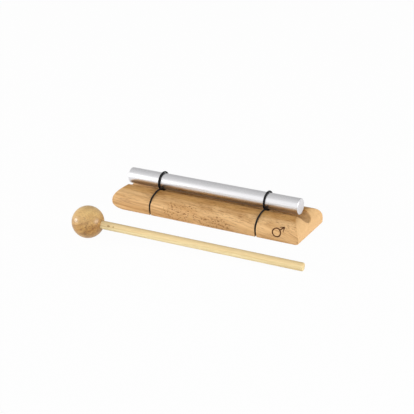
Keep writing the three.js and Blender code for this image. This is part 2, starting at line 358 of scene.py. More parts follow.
def soften_edges(block, base):
    """Rounds the crisp edges of the ends and of the groove."""
    bm = bmesh.new()
    bm.from_mesh(block.data)
    edges = []
    for edge in bm.edges:
        lower, higher = sorted(abs(face.normal.x) for face in edge.link_faces)
        round_end = lower < SIDE_TILT and higher > END_TILT
        if edge.is_convex and (round_end or edge.calc_face_angle() > CRISP_ANGLE):
            edges.append(edge)
    bmesh.ops.bevel(
        bm, geom=edges, offset=base.edge_softness, segments=4, profile=0.5, affect="EDGES", material=-1,
    )
    bm.to_mesh(block.data)
    bm.free()


def kerf_cutter(base, cords, place):
    """The ring that a saw takes out of the sides and the underside for one cord."""
    floor_depth = cords.diameter / 2 + KERF_CLEARANCE
    half = [(across, up) for across, up, turn in cord_ring_half(base, cords, floor_depth)]
    inner = half + [(-across, up) for across, up in reversed(half)]
    bm = bmesh.new()
    loops = []
    middle = base.height / 2
    for spread in (1.0, KERF_SPREAD):
        corners = [
            bm.verts.new((place - base.kerf_width / 2, across * spread, middle + (up - middle) * spread))
            for across, up in inner
        ]
        loops.append([bm.edges.new((a, b)) for a, b in zip(corners, corners[1:] + corners[:1])])
    faces = bmesh.ops.bridge_loops(bm, edges=loops[0] + loops[1])["faces"]
    walls = bmesh.ops.extrude_face_region(bm, geom=faces)["geom"]
    moved = [item for item in walls if isinstance(item, bmesh.types.BMVert)]
    bmesh.ops.translate(bm, verts=moved, vec=(base.kerf_width, 0, 0))
    bmesh.ops.recalc_face_normals(bm, faces=bm.faces)
    return object_from(bm, "kerf_cutter")


def pocket_cutter(base, place):
    bm = bmesh.new()
    bmesh.ops.create_cone(
        bm, cap_ends=True, segments=POCKET_SIDES, radius1=base.pocket_radius, radius2=base.pocket_radius,
        depth=2 * base.pocket_depth, matrix=Matrix.Translation((place, 0, 0)),
    )
    return object_from(bm, "pocket_cutter")


# Planet sign

SIGN_RING_SIDES = 72
SIGN_STROKE_STEPS = 10
FRONT_STEPS = 240


def front_place(base, along, up, lift):
    """A point along the base, up its front from the widest line, and lifted off the wood."""
    points = [Vector(p) for p in half_section(base, FRONT_STEPS)]
    index = FRONT_STEPS
    step = 1 if up >= 0 else -1
    left = abs(up)
    while (points[index + step] - points[index]).length < left:
        left -= (points[index + step] - points[index]).length
        index += step
    way = (points[index + step] - points[index]).normalized()
    spot = points[index] + way * left
    out = Vector((way.y, -way.x)) * step
    return Vector((along, -(spot.x + out.x * lift), spot.y + out.y * lift))


def bend_onto_front(bm, base, sign):
    """Thickens a flat mark and lays it on the front, from below the wood's surface to above it."""
    flat = list(bm.faces)
    made = bmesh.ops.extrude_face_region(bm, geom=flat)["geom"]
    for vert in (item for item in made if isinstance(item, bmesh.types.BMVert)):
        vert.co.z = 1
    for vert in bm.verts:
        lift = sign.depth if vert.co.z > 0 else -sign.depth
        vert.co = front_place(base, sign.along + vert.co.x, sign.up + vert.co.y, lift)
    bmesh.ops.recalc_face_normals(bm, faces=bm.faces)


def sign_circle(sign):
    bm = bmesh.new()
    edges = []
    for radius in (sign.radius - sign.line_width / 2, sign.radius + sign.line_width / 2):
        made = bmesh.ops.create_circle(bm, segments=SIGN_RING_SIDES, radius=radius)
        edges += {edge for vert in made["verts"] for edge in vert.link_edges}
    bmesh.ops.bridge_loops(bm, edges=edges)
    return bm


def sign_stroke(sign, start, heading, length, taper=1.0):
    """A straight stroke from a point in a direction, that tapers to a share of its width."""
    bm = bmesh.new()
    bmesh.ops.create_grid(bm, x_segments=SIGN_STROKE_STEPS, y_segments=2, size=0.5)
    for vert in bm.verts:
        share = vert.co.x + 0.5
        vert.co = (length * share, vert.co.y * sign.line_width * (1 - share + taper * share), 0)
    lie = Matrix.Translation(start) @ Matrix.Rotation(heading, 4, "Z")
    bmesh.ops.transform(bm, matrix=lie, verts=bm.verts)
    return bm


def sign_marks(sign):
    """The circle, the shaft and the two barbs, drawn flat about the circle's centre."""
    way = Vector((math.cos(sign.heading), math.sin(sign.heading), 0))
    tip = way * sign.reach
    backwards = sign.heading + math.pi
    marks = [sign_circle(sign)]
    marks.append(sign_stroke(sign, way * sign.radius, sign.heading, sign.reach - sign.radius))
    for turn in (-sign.upper_spread, sign.lower_spread):
        marks.append(sign_stroke(sign, tip, backwards + turn, sign.barb, sign.taper))
    return marks


# Elastic cords

CORD_SIDES = 32
CORD_STEP = 0.15 * MM
RIDGES = 8
ROUTE_STEPS = 60
LIP_STEPS = 8

# Pieces that touch are kept this far apart, and points nearer than the second distance are merged.
TOUCH = 0.02 * MM
MERGE = 0.001 * MM

KNOT_TURNS = 2.5
KNOT_RADIUS = 1.52 * MM
KNOT_PITCH = 1.9 * MM


def cord_places(cords):
    """Where the two kerfs are along the base."""
    return [end * cords.half_span + cords.shift for end in (-1, 1)]


def cord_ring_half(base, cords, inward=0.0):
    """Half of a cord's way round the base, across and up, with the turn on the shoulder in degrees."""
    lift = cords.diameter / 2 + TOUCH
    low = base.lower_round_height
    side = base.width / 2 - cords.sunk_at_side
    bottom = cords.above_table + cords.diameter / 2
    shoulder = (side - lip_outer(base) - inward, base.height + lift - low - inward)
    bend = (cords.bend_radius - inward, low - bottom - inward)
    upper = elliptic_arc((lip_outer(base), low), shoulder, 90, 0, ROUTE_STEPS, cords.fullness)
    lower = elliptic_arc((side - cords.bend_radius, low), bend, 0, -90, ROUTE_STEPS)
    turns = [90 - 90 * i / ROUTE_STEPS for i in range(ROUTE_STEPS + 1)]
    ring = [(across, up, turn) for (across, up), turn in zip(upper, turns)]
    return ring + [(across, up, 0) for across, up in lower[1:]]


class SlungCord:
    """The places of one cord: which lie on the base, which on the bar, and the strands between."""

    def __init__(self, base, cords, place):
        self.base = base
        self.cords = cords
        self.place = place
        self.lift = cords.diameter / 2 + TOUCH
        self.turn_radius = BAR_RADIUS + self.lift + cords.bar_gap
        rise = BAR_CENTRE.z - base.height
        reach = math.hypot(rise, base.groove_half)
        lean = math.atan2(base.groove_half, rise)
        self.slope = lean - math.acos((self.lift + self.turn_radius) / reach)
        self.wrap = self.slope + cords.extra_wrap
        self.turn_angle = 2 * math.pi + 2 * self.wrap
        self.turn_shift = (cords.diameter + cords.turn_gap) * self.turn_angle / (2 * math.pi)

    def aside(self, side):
        """How far a strand lies from the kerf along the bar. Side is -1 in front and 1 behind."""
        return self.cords.loop_shift - side * self.turn_shift / 2

    def on_lip(self, side, angle):
        across = self.base.groove_half - self.lift * math.sin(angle)
        up = self.base.height + self.lift * math.cos(angle)
        return Vector((self.place + self.aside(side), side * across, up))

    def on_bar(self, share):
        """A point of the turn round the bar, from the front strand to the back one."""
        angle = self.turn_angle * share - self.wrap
        return Vector((
            self.place + self.cords.loop_shift + self.turn_shift * (0.5 - share),
            self.turn_radius * math.sin(angle),
            BAR_CENTRE.z - self.turn_radius * math.cos(angle),
        ))

    def ring_side(self, side):
        """From a strand's foot on the lip down to the knot under the base."""
        points = [self.on_lip(side, self.slope * (1 - i / LIP_STEPS)) for i in range(LIP_STEPS + 1)]
        aside_from = math.degrees(self.cords.aside_angle)
        for across, up, turn in cord_ring_half(self.base, self.cords):
            share = min(max((turn - aside_from) / (90 - aside_from), 0), 1)
            smooth = share * share * (3 - 2 * share)
            points.append(Vector((self.place + smooth * self.aside(side), side * across, up)))
        points.append(Vector((self.place, side * self.base.pocket_radius, points[-1].z)))
        points.append(Vector((self.place, side * KNOT_PITCH * KNOT_TURNS / 2, knot_height(self.cords))))
        return points

    def ring(self):
        return self.ring_side(-1) + self.ring_side(1)[::-1]

    def strand(self, side):
        return [self.on_lip(side, self.slope), self.on_bar(0 if side < 0 else 1)]

    def loop(self):
        steps = 4 * ROUTE_STEPS
        return [self.on_bar(i / steps) for i in range(steps + 1)]


def route_length(points):
    return sum((b - a).length for a, b in zip(points, points[1:]))


def evenly(points, count):
    """Points at even steps along a route, with the direction at each."""
    total = route_length(points)
    spots = []
    index = 0
    passed = 0.0
    for i in range(count + 1):
        wanted = total * i / count
        while index < len(points) - 2 and passed + (points[index + 1] - points[index]).length < wanted:
            passed += (points[index + 1] - points[index]).length
            index += 1
        way = points[index + 1] - points[index]
        spots.append((points[index] + way.normalized() * (wanted - passed), way.normalized()))
    return spots


def braided_tube(name, points, cords, aside_of=X_AXIS):
    """A tube whose braid stands out, along a route that never runs along the given axis."""
    total = route_length(points)
    rings = max(2, round(total / CORD_STEP))
    spots = evenly(points, rings)
    bm = bmesh.new()
    braid = bm.verts.layers.float.new("braid")
    bmesh.ops.create_grid(bm, x_segments=CORD_SIDES, y_segments=rings, size=0.5)
    for vert in bm.verts:
        angle = 2 * math.pi * (vert.co.x + 0.5)
        along = total * (vert.co.y + 0.5)
        spot, way = spots[round((vert.co.y + 0.5) * rings)]
        outward = way.cross(aside_of).normalized()
        aside = way.cross(outward)
        stitch = math.cos(RIDGES * angle) * math.cos(math.pi * along / cords.stitch)
        radius = cords.diameter / 2 - cords.relief * (1 - stitch) / 2
        vert[braid] = stitch
        vert.co = spot + (outward * math.cos(angle) + aside * math.sin(angle)) * radius
    bmesh.ops.remove_doubles(bm, verts=bm.verts, dist=MERGE)
    ends = [edge for edge in bm.edges if edge.is_boundary]
    bmesh.ops.holes_fill(bm, edges=ends, sides=0)
    bmesh.ops.recalc_face_normals(bm, faces=bm.faces)
    piece = object_from(bm, name)
    shade_smooth(piece)
    return piece


def knot_height(cords):
    """Height of the knot's core."""
    return cords.above_table + KNOT_RADIUS + cords.diameter / 2


def knot_route(cords, place):
    """The tied ends: a barrel of turns round the cord under the base."""
    points = []
    for i in range(2 * ROUTE_STEPS + 1):
        share = i / (2 * ROUTE_STEPS)
        angle = 2 * math.pi * KNOT_TURNS * share
        points.append(Vector((
            place + KNOT_RADIUS * math.sin(angle),
            KNOT_PITCH * KNOT_TURNS * (share - 0.5),
            knot_height(cords) + KNOT_RADIUS * math.cos(angle),
        )))
    return points


# Mallet

BALL_STEPS = 72
SPIN_STEPS = 128
RIM_STEPS = 6
STICK_END_STEPS = 8


def spun(name, profile):
    """A closed body turned about the X axis from a profile of along and out points that ends on the axis."""
    bm = bmesh.new()
    verts = [bm.verts.new((along, out, 0)) for along, out in profile]
    edges = [bm.edges.new((a, b)) for a, b in zip(verts, verts[1:])]
    bmesh.ops.spin(
        bm, geom=verts + edges, cent=(0, 0, 0), axis=(1, 0, 0), dvec=(0, 0, 0), angle=2 * math.pi,
        steps=SPIN_STEPS, use_merge=True,
    )
    bmesh.ops.remove_doubles(bm, verts=bm.verts, dist=MERGE)
    bmesh.ops.recalc_face_normals(bm, faces=bm.faces)
    return object_from(bm, name)


def mallet_matrix(mallet):
    """The mallet lies on its ball and on the lower edge of the stick's end."""
    drop = math.asin((BALL_RADIUS - mallet.stick_radius) / (mallet.stick_reach - mallet.stick_rounding))
    heading = Matrix.Rotation(mallet.heading, 4, "Z")
    return Matrix.Translation(BALL_CENTRE) @ heading @ Matrix.Rotation(drop, 4, "Y")


def ball_profile(mallet):
    rim = mallet.stick_radius + TOUCH
    soft = mallet.rim_softness
    opening = math.degrees(math.asin((rim + soft) / BALL_RADIUS))
    profile = elliptic_arc((0, 0), (BALL_RADIUS, BALL_RADIUS), 180, opening, BALL_STEPS)
    edge = profile[-1][0]
    profile += elliptic_arc((edge - soft, rim + soft), (soft, soft), 0, -90, RIM_STEPS)[1:]
    floor = BALL_RADIUS - mallet.bore_depth
    return profile + [(floor, rim), (floor, 0)]


def stick_profile(mallet):
    floor = BALL_RADIUS - mallet.bore_depth + TOUCH
    soft = mallet.stick_rounding
    far = mallet.stick_reach
    rounding = elliptic_arc((far - soft, mallet.stick_radius - soft), (soft, soft), 90, 0, STICK_END_STEPS)
    return [(floor, 0), (floor, mallet.stick_radius)] + rounding + [(far, 0)]


# Materials

# How far below the piece the growth layers have their middle, in millimetres.
PITH_DEPTH = 60.0
WOOD_VALUES = (
    "Layer Spacing", "Layer Strength", "Pore Strength", "Fibre Strength", "Pore Shortness", "Bow", "Wander",
)


def opaque(colour):
    """What a colour socket takes: another socket, or a plain colour with nothing see-through."""
    return colour if isinstance(colour, bpy.types.NodeSocket) else (*colour, 1.0)


class NodeTree:
    """Adds nodes to a tree and links what they take."""

    def __init__(self, tree):
        self.tree = tree

    def add(self, kind, inputs=None, **settings):
        node = self.tree.nodes.new(kind)
        for name, value in settings.items():
            setattr(node, name, value)
        for key, value in (inputs or {}).items():
            if isinstance(value, bpy.types.NodeSocket):
                self.tree.links.new(value, node.inputs[key])
            else:
                node.inputs[key].default_value = value
        return node

    def maths(self, operation, first, second=0.0, clamp=False):
        node = self.add("ShaderNodeMath", {0: first, 1: second}, operation=operation, use_clamp=clamp)
        return node.outputs[0]

    def plus(self, first, second, clamp=False):
        return self.maths("ADD", first, second, clamp)

    def times(self, first, second, clamp=False):
        return self.maths("MULTIPLY", first, second, clamp)

    def vectors(self, operation, first, second=(0, 0, 0)):
        return self.add("ShaderNodeVectorMath", {0: first, 1: second}, operation=operation).outputs

    def scaled(self, vector, scale):
        return self.vectors("MULTIPLY", vector, scale)[0]

    def length(self, vector):
        return self.vectors("LENGTH", vector)["Value"]

    def axes(self, vector):
        return self.add("ShaderNodeSeparateXYZ", {0: vector}).outputs

    def place(self):
        """The place on the piece, in metres."""
        return self.add("ShaderNodeTexCoord").outputs["Object"]

    def turned_place(self, centre, turn):
        """The place on the piece, from a centre and along turned axes."""
        inputs = {"Vector": self.place(), "Location": centre, "Rotation": turn}
        return self.add("ShaderNodeMapping", inputs, vector_type="TEXTURE").outputs[0]

    def end_share(self, low, high, most=1.0):
        """How far the surface faces along X, from nothing to the most."""
        normal = self.add("ShaderNodeNewGeometry").outputs["Normal"]
        return self.between(self.maths("ABSOLUTE", self.axes(normal)[0]), low, high, 0.0, most)

    def noise(self, vector, detail=2.0, roughness=0.5):
        inputs = {"Vector": vector, "Scale": 1.0, "Detail": detail, "Roughness": roughness}
        return self.add("ShaderNodeTexNoise", inputs).outputs["Fac"]

    def between(self, value, low, high, out_low=0.0, out_high=1.0):
        inputs = {"Value": value, "From Min": low, "From Max": high, "To Min": out_low, "To Max": out_high}
        return self.add("ShaderNodeMapRange", inputs, interpolation_type="SMOOTHSTEP").outputs[0]

    def mix_colour(self, factor, first, second, blend="MIX"):
        """Mixes two colours, each a socket or a plain red, green and blue."""
        inputs = {"Factor": factor, 6: opaque(first), 7: opaque(second)}
        return self.add("ShaderNodeMix", inputs, data_type="RGBA", blend_type=blend).outputs[2]


def wood_group():
    """Solid wood with its grain along X: growth layers, fibres and open pores. Positions are in metres."""
    group = bpy.data.node_groups.new("wood_grain", "ShaderNodeTree")
    face = group.interface
    face.new_socket("Vector", in_out="INPUT", socket_type="NodeSocketVector")
    for name in ("Light", "Dark", "Pore"):
        face.new_socket(name, in_out="INPUT", socket_type="NodeSocketColor")
    for name in WOOD_VALUES:
        face.new_socket(name, in_out="INPUT", socket_type="NodeSocketFloat")
    face.new_socket("Color", in_out="OUTPUT", socket_type="NodeSocketColor")
    face.new_socket("Height", in_out="OUTPUT", socket_type="NodeSocketFloat")
    face.new_socket("Roughness", in_out="OUTPUT", socket_type="NodeSocketFloat")
    tree = NodeTree(group)
    given = tree.add("NodeGroupInput").outputs
    straight = tree.scaled(given["Vector"], (1000, 1000, 1000))

    # The grain bows down towards both ends, and wanders a little.
    parts = tree.axes(straight)
    bow = tree.times(tree.maths("POWER", parts[0], 2.0), given["Bow"])
    wander = tree.noise(tree.scaled(straight, (0.018, 0.06, 0.06)), 2.0)
    drift = tree.times(tree.maths("SUBTRACT", wander, 0.5), given["Wander"])
    lifted = tree.plus(parts[2], tree.plus(bow, drift))
    spot = tree.add("ShaderNodeCombineXYZ", {0: parts[0], 1: parts[1], 2: lifted}).outputs[0]

    # Growth layers round a pith below the piece.
    across = tree.maths("POWER", parts[1], 2.0)
    below = tree.maths("POWER", tree.plus(lifted, PITH_DEPTH), 2.0)
    distance = tree.maths("SQRT", tree.plus(across, below))
    saw = tree.maths("FRACT", tree.maths("DIVIDE", distance, given["Layer Spacing"]))
    late = tree.times(tree.between(saw, 0.1, 0.85), tree.between(saw, 1.0, 0.86))
    streak = tree.noise(tree.scaled(spot, (0.01, 0.3, 0.3)), 4.0, 0.65)
    layer_share = tree.times(late, given["Layer Strength"])
    patch_share = tree.between(streak, 0.3, 0.7, 0.0, 0.85)
    dark_share = tree.plus(layer_share, patch_share, clamp=True)
    ground = tree.mix_colour(dark_share, given["Light"], given["Dark"])

    # Fibres and open pores.
    fibre = tree.noise(tree.scaled(spot, (0.02, 0.9, 0.9)), 3.0, 0.6)
    long_size = tree.add("ShaderNodeCombineXYZ", {0: given["Pore Shortness"], 1: 1.3, 2: 1.3}).outputs[0]
    long_noise = tree.noise(tree.scaled(spot, long_size), 1.0)
    short_noise = tree.noise(tree.scaled(tree.scaled(spot, long_size), (2.6, 1.6, 1.6)), 1.0)
    crowd = tree.between(tree.noise(tree.scaled(spot, (0.03, 0.1, 0.1)), 2.0), 0.3, 0.7, -0.035, 0.035)
    long_pores = tree.between(tree.plus(long_noise, crowd), 0.6, 0.68)
    short_pores = tree.between(tree.plus(short_noise, crowd), 0.62, 0.7)
    pores = tree.maths("MAXIMUM", long_pores, short_pores)
    fibre_share = tree.times(tree.between(fibre, 0.42, 0.72), given["Fibre Strength"])
    streaked = tree.mix_colour(fibre_share, ground, given["Pore"])
    pore_share = tree.times(pores, given["Pore Strength"], clamp=True)
    colour = tree.mix_colour(pore_share, streaked, given["Pore"])
    height = tree.maths("SUBTRACT", tree.times(fibre, 0.35), pores)
    rough = tree.plus(tree.times(pores, 0.2), tree.times(fibre, 0.12))
    tree.add("NodeGroupOutput", {"Color": colour, "Height": height, "Roughness": rough})
    return group


def new_material(name):
    """A material with an empty tree, its Principled shader and its output."""
    material = bpy.data.materials.new(name)
    material.use_nodes = True
    material.node_tree.nodes.clear()
    tree = NodeTree(material.node_tree)
    shader = tree.add("ShaderNodeBsdfPrincipled")
    tree.add("ShaderNodeOutputMaterial", {"Surface": shader.outputs[0]})
    return material, tree, shader


def cover(tree, shader, colour, rough, height, strength, depth):
    """Links a colour, a roughness and a relief of some depth to the shader."""
    bump = tree.add("ShaderNodeBump", {"Height": height, "Strength": strength, "Distance": depth})
    for key, value in (("Base Color", colour), ("Roughness", rough), ("Normal", bump.outputs[0])):
        tree.tree.links.new(value, shader.inputs[key])


def wood_grain(tree, colours, centre, turn, finish):
    """The shared wood grain, centred and turned on the piece, with its own colours and values."""
    group = bpy.data.node_groups.get("wood_grain") or wood_group()
    light, dark, pore = (opaque(colour) for colour in colours)
    values = {name: finish[name] for name in WOOD_VALUES}
    place = tree.turned_place(centre, turn)
    taken = {"Vector": place, "Light": light, "Dark": dark, "Pore": pore, **values}
    return tree.add("ShaderNodeGroup", node_tree=group, inputs=taken).outputs


def polish_wood(tree, shader, colour, grain, finish):
    """Links the grain to the shader, under the piece's own polish."""
    rough = tree.plus(grain["Roughness"], finish["Roughness"])
    cover(tree, shader, colour, rough, grain["Height"], finish["Bump"], 0.1 * MM)
    for name in ("Specular IOR Level", "Coat Weight", "Coat Roughness"):
        shader.inputs[name].default_value = finish[name]


def blob(tree, centre, size, ragged):
    """One inside an egg shape on the piece and nothing outside it, with a ragged soft edge."""
    place = tree.place()
    shrink = tuple(1 / length for length in size)
    distance = tree.length(tree.scaled(tree.vectors("SUBTRACT", place, centre)[0], shrink))
    edge = tree.times(tree.noise(tree.scaled(place, (150, 150, 150)), 3.0), ragged)
    outside = tree.plus(distance, edge)
    return tree.between(outside, 1.0 + ragged / 2, 0.8 + ragged / 2)


GRAIN_DIP = math.radians(8)

# What most of the wood has in common: straight grain and no lacquer.
BARE_WOOD = {"Bow": 0.0, "Specular IOR Level": 0.15, "Coat Weight": 0.0, "Coat Roughness": 0.3}


def base_wood(base):
    """Straight grain that dips to the right, with two darker patches in front that show pores end on."""
    material, tree, shader = new_material("base_wood")
    finish = {
        **BARE_WOOD,
        "Layer Spacing": 5.0, "Layer Strength": 0.3, "Pore Strength": 0.44, "Fibre Strength": 0.2,
        "Pore Shortness": 0.05, "Bow": 0.0005, "Wander": 5.0, "Bump": 0.3, "Roughness": 0.42,
    }
    colours = (base.light_wood, base.dark_wood, base.pore_wood)
    plain = wood_grain(tree, colours, (0, 0, 0), (0, GRAIN_DIP, 0), finish)
    place = tree.place()
    middle = blob(tree, (-19 * MM, -base.width / 2, 8 * MM), (19 * MM, 20 * MM, 9 * MM), 0.6)
    beside = blob(tree, (14 * MM, -base.width / 2, 3 * MM), (18 * MM, 12 * MM, 9 * MM), 0.6)
    patches = tree.maths("MAXIMUM", middle, beside)
    dots = tree.between(tree.noise(tree.scaled(place, (600, 1150, 1150)), 0.0), 0.62, 0.7, 0.0, 0.75)
    calm = tree.mix_colour(tree.times(patches, 0.45), plain["Color"], base.dark_wood)
    speckled = tree.mix_colour(tree.times(patches, dots), calm, base.pore_wood)

    # Painted shade: the wood is warmer and darker along the lips and in the groove, where the bar shades it
    # and light bounces from wood to wood.
    height = tree.axes(place)[2]
    lip_shade_mask = tree.between(height, 0.87 * base.height, 0.99 * base.height)
    lip_shaded = tree.mix_colour(lip_shade_mask, speckled, base.painted_lip_shade, "MULTIPLY")

    # Sanded end grain is paler and calmer.
    colour = tree.mix_colour(tree.end_share(0.1, 0.7, 0.7), lip_shaded, base.end_wood)
    polish_wood(tree, shader, colour, plain, finish)
    return material


def burnt_wood(base):
    material, tree, shader = new_material("burnt_wood")
    finish = {
        **BARE_WOOD,
        "Layer Spacing": 5.0, "Layer Strength": 0.5, "Pore Strength": 0.4, "Fibre Strength": 0.5,
        "Pore Shortness": 0.2, "Wander": 5.0, "Bump": 0.6, "Roughness": 0.7, "Specular IOR Level": 0.3,
    }
    darker = tuple(0.6 * c for c in base.burnt_wood)
    darkest = tuple(0.3 * c for c in base.burnt_wood)
    grain = wood_grain(tree, (base.burnt_wood, darker, darkest), (0, 0, 0), (0, GRAIN_DIP, 0), finish)
    polish_wood(tree, shader, grain["Color"], grain, finish)
    return material


def ball_wood(mallet):
    """Fine grain across the ball, with painted light at its top and foot, and painted shade low down beside
    the stick.
    """
    material, tree, shader = new_material("ball_wood")
    finish = {
        **BARE_WOOD,
        "Layer Spacing": 4.0, "Layer Strength": 0.3, "Pore Strength": 0.8, "Fibre Strength": 0.6,
        "Pore Shortness": 0.2, "Wander": 4.0, "Bump": 0.25, "Roughness": 0.4, "Specular IOR Level": 0.2,
        "Coat Weight": 0.6, "Coat Roughness": 0.28,
    }
    colours = (mallet.light_ball, mallet.dark_ball, mallet.pore_ball)

    # The fibres run to the right and upwards, and the growth layers lie flat along them.
    fibre = Vector((0.9, -0.05, 0.38)).normalized()
    layers = (Z_AXIS - fibre * fibre.z).normalized()
    turn = Matrix((fibre, layers.cross(fibre), layers)).transposed().to_euler()
    grain = wood_grain(tree, colours, BALL_CENTRE, turn, finish)
    # Painted light: the ball's top and foot are screened paler, as if more light fell on them from above and
    # from the floor.
    height = tree.axes(tree.place())[2]
    top = tree.between(height, 0.9 * BALL_RADIUS, 2 * BALL_RADIUS)
    foot = tree.between(height, 0.8 * BALL_RADIUS, 0.0, 0.0, 0.5)
    painted_light_mask = tree.maths("MAXIMUM", top, foot)
    painted_lit = tree.mix_colour(painted_light_mask, grain["Color"], mallet.painted_light_ball, "SCREEN")
    # Painted shade: the ball is darker low down on its right, beside the stick.
    low_right = BALL_CENTRE + BALL_RADIUS * Vector((0.85, 0, -0.55))
    painted_shade_patch = blob(tree, low_right, (BALL_RADIUS, 1.2 * BALL_RADIUS, BALL_RADIUS), 0.5)
    colour = tree.mix_colour(painted_shade_patch, painted_lit, mallet.painted_shade_ball, "MULTIPLY")
    polish_wood(tree, shader, colour, grain, finish)
    return material


def stick_wood(mallet):
    """Pale straight grain, with painted shade along the top, and two small marks beside the ball."""
    material, tree, shader = new_material("stick_wood")
    finish = {
        **BARE_WOOD,
        "Layer Spacing": 2.2, "Layer Strength": 0.4, "Pore Strength": 0.3, "Fibre Strength": 0.45,
        "Pore Shortness": 0.06, "Wander": 2.0, "Bump": 0.08, "Roughness": 0.55,
    }
    colours = (mallet.light_stick, mallet.dark_stick, mallet.pore_stick)
    matrix = mallet_matrix(mallet)
    grain = wood_grain(tree, colours, BALL_CENTRE, matrix.to_euler(), finish)
    # Painted shade: a wavering band along the stick's top is darker, as less light falls there than on its
    # lower side.
    along_stick = tree.turned_place(BALL_CENTRE, matrix.to_euler())
    waver = tree.times(tree.noise(tree.scaled(along_stick, (60, 400, 400)), 2.0), 2 * MM)
    up = tree.plus(tree.axes(along_stick)[2], waver)
    painted_shade_band = tree.between(up, 1.8 * MM, 2.8 * MM, 0.0, 0.6)
    colour = tree.mix_colour(painted_shade_band, grain["Color"], mallet.painted_shade_stick)
    for along, half_length in ((20.3 * MM, 1.4 * MM), (24.6 * MM, 0.7 * MM)):
        mark = matrix @ Vector((along, -0.92 * mallet.stick_radius, 0.39 * mallet.stick_radius))
        shape = blob(tree, mark, (half_length, 0.8 * MM, 0.8 * MM), 0.5)
        colour = tree.mix_colour(tree.times(shape, 0.7), colour, mallet.mark_stick)
    polish_wood(tree, shader, colour, grain, finish)
    return material


# Space between the turning rings on the bar's ends.
TURNING_PITCH = 0.25 * MM


def satin_aluminium(bar):
    """Drawn bar with fine lines along it, and faint turning rings on its ends."""
    material, tree, shader = new_material("satin_aluminium")
    local = tree.vectors("SUBTRACT", tree.place(), BAR_CENTRE)[0]
    lines = tree.noise(tree.scaled(local, (14, 2600, 2600)), 3.0, 0.65)
    cloud = tree.noise(tree.scaled(local, (60, 220, 220)), 2.0)
    out = tree.length(tree.scaled(local, (0, 1, 1)))
    wave = tree.maths("SINE", tree.times(out, 2 * math.pi / TURNING_PITCH))
    on_end = tree.end_share(0.9, 0.97)
    turned = tree.times(tree.times(wave, on_end), 0.5)
    height = tree.plus(lines, turned)
    drawn = tree.between(tree.plus(lines, tree.times(cloud, 0.5)), 0.4, 1.1, 0.24, 0.34)
    rough = tree.plus(drawn, tree.times(on_end, 0.45))
    dull = tree.plus(tree.between(lines, 0.3, 0.75, 0.0, 0.3), tree.times(on_end, 0.7))
    tint = tree.mix_colour(dull, bar.metal, tuple(0.72 * c for c in bar.metal))
    cover(tree, shader, tint, rough, height, 0.03, 0.03 * MM)
    shader.inputs["Metallic"].default_value = 1.0
    return material


def braided_elastic(cords):
    """Black braid, with a painted sheen on its stitches and painted shade between them."""
    material, tree, shader = new_material("braided_elastic")
    braid = tree.add("ShaderNodeAttribute", attribute_name="braid").outputs["Fac"]
    yarn = tree.noise(tree.scaled(tree.place(), (9000, 9000, 9000)), 2.0)
    # Painted sheen and shade: the stitches are lighter and the hollows between them darker.
    share = tree.between(tree.plus(braid, tree.times(yarn, 0.8)), -0.8, 1.6)
    colour = tree.mix_colour(share, tuple(0.35 * c for c in cords.yarn), cords.yarn)
    cover(tree, shader, colour, tree.between(yarn, 0.3, 0.7, 0.55, 0.75), yarn, 0.3, 0.02 * MM)
    shader.inputs["Specular IOR Level"].default_value = 0.25
    return material


# Operators

class MakeChimeBase(bpy.types.Operator):
    """Make the wooden base with its groove, kerfs, knot pockets and burnt sign"""
    bl_idname = "chime.make_base"
    bl_label = "Resonator base"

    def execute(self, context):
        base = context.scene.chime_base
        sign = context.scene.chime_sign
        cords = context.scene.chime_cords
        block = base_blank(base)
        block.data.materials.append(base_wood(base))
        cut_away(block, groove_cutter(base))
        soften_edges(block, base)
        for place in cord_places(cords):
            cut_away(block, kerf_cutter(base, cords, place))
            cut_away(block, pocket_cutter(base, place))
        burnt = burnt_wood(base)
        for mark in sign_marks(sign):
            bend_onto_front(mark, base, sign)
            cutter = object_from(mark, "sign_cutter")
            cutter.data.materials.append(burnt)
            cut_away(block, cutter)
        shade_smooth(block)
        block.modifiers.new("even_shading", "WEIGHTED_NORMAL").keep_sharp = True
        dress(block, None, "base_wood", "resonator_base")
        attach(block, "base")
        return {"FINISHED"}


class MakeChimeBar(bpy.types.Operator):
    """Make the satin metal bar"""
    bl_idname = "chime.make_bar"
    bl_label = "Chime bar"

    def execute(self, context):
        bar = context.scene.chime_bar
        length = BAR_HIGH.x - BAR_LOW.x
        soft = bar.edge_softness
        half = length / 2
        rounding = elliptic_arc((half - soft, BAR_RADIUS - soft), (soft, soft), 90, 0, RIM_STEPS)
        mirrored = [(-along, out) for along, out in reversed(rounding)]
        piece = spun("bar", [(-half, 0)] + mirrored + rounding + [(half, 0)])
        piece.data.transform(Matrix.Translation(BAR_CENTRE))
        shade_smooth(piece)
        dress(piece, satin_aluminium(bar), "bar_metal", "chime_bar")
        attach(piece, "bar")
        return {"FINISHED"}


class MakeChimeCords(bpy.types.Operator):
    """Make the two braided elastic cords"""
    bl_idname = "chime.make_cords"
    bl_label = "Elastic cords"

    def execute(self, context):
        base = context.scene.chime_base
        cords = context.scene.chime_cords
        elastic = braided_elastic(cords)
        for name, place in zip(("cord_left", "cord_right"), cord_places(cords)):
            slung = SlungCord(base, cords, place)
            ring = braided_tube(f"{name}_ring", slung.ring(), cords)
            knot = braided_tube(f"{name}_knot", knot_route(cords, place), cords, Y_AXIS)
            loop = braided_tube(f"{name}_loop", slung.loop(), cords)
            dress(ring, elastic, "elastic_cord", f"{name}_base_turn")
            dress(knot, elastic, "elastic_cord")
            dress(loop, elastic, "elastic_cord", f"{name}_bar_turn")
            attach(ring, "base")
            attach(knot, "base")
            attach(loop, "sling")
            for side, word in ((-1, "front"), (1, "back")):
                foot, head = slung.strand(side)
                strand = braided_tube(f"{name}_strand_{word}", [foot, head], cords)
                dress(strand, elastic, "elastic_cord")
                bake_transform(strand)
        return {"FINISHED"}


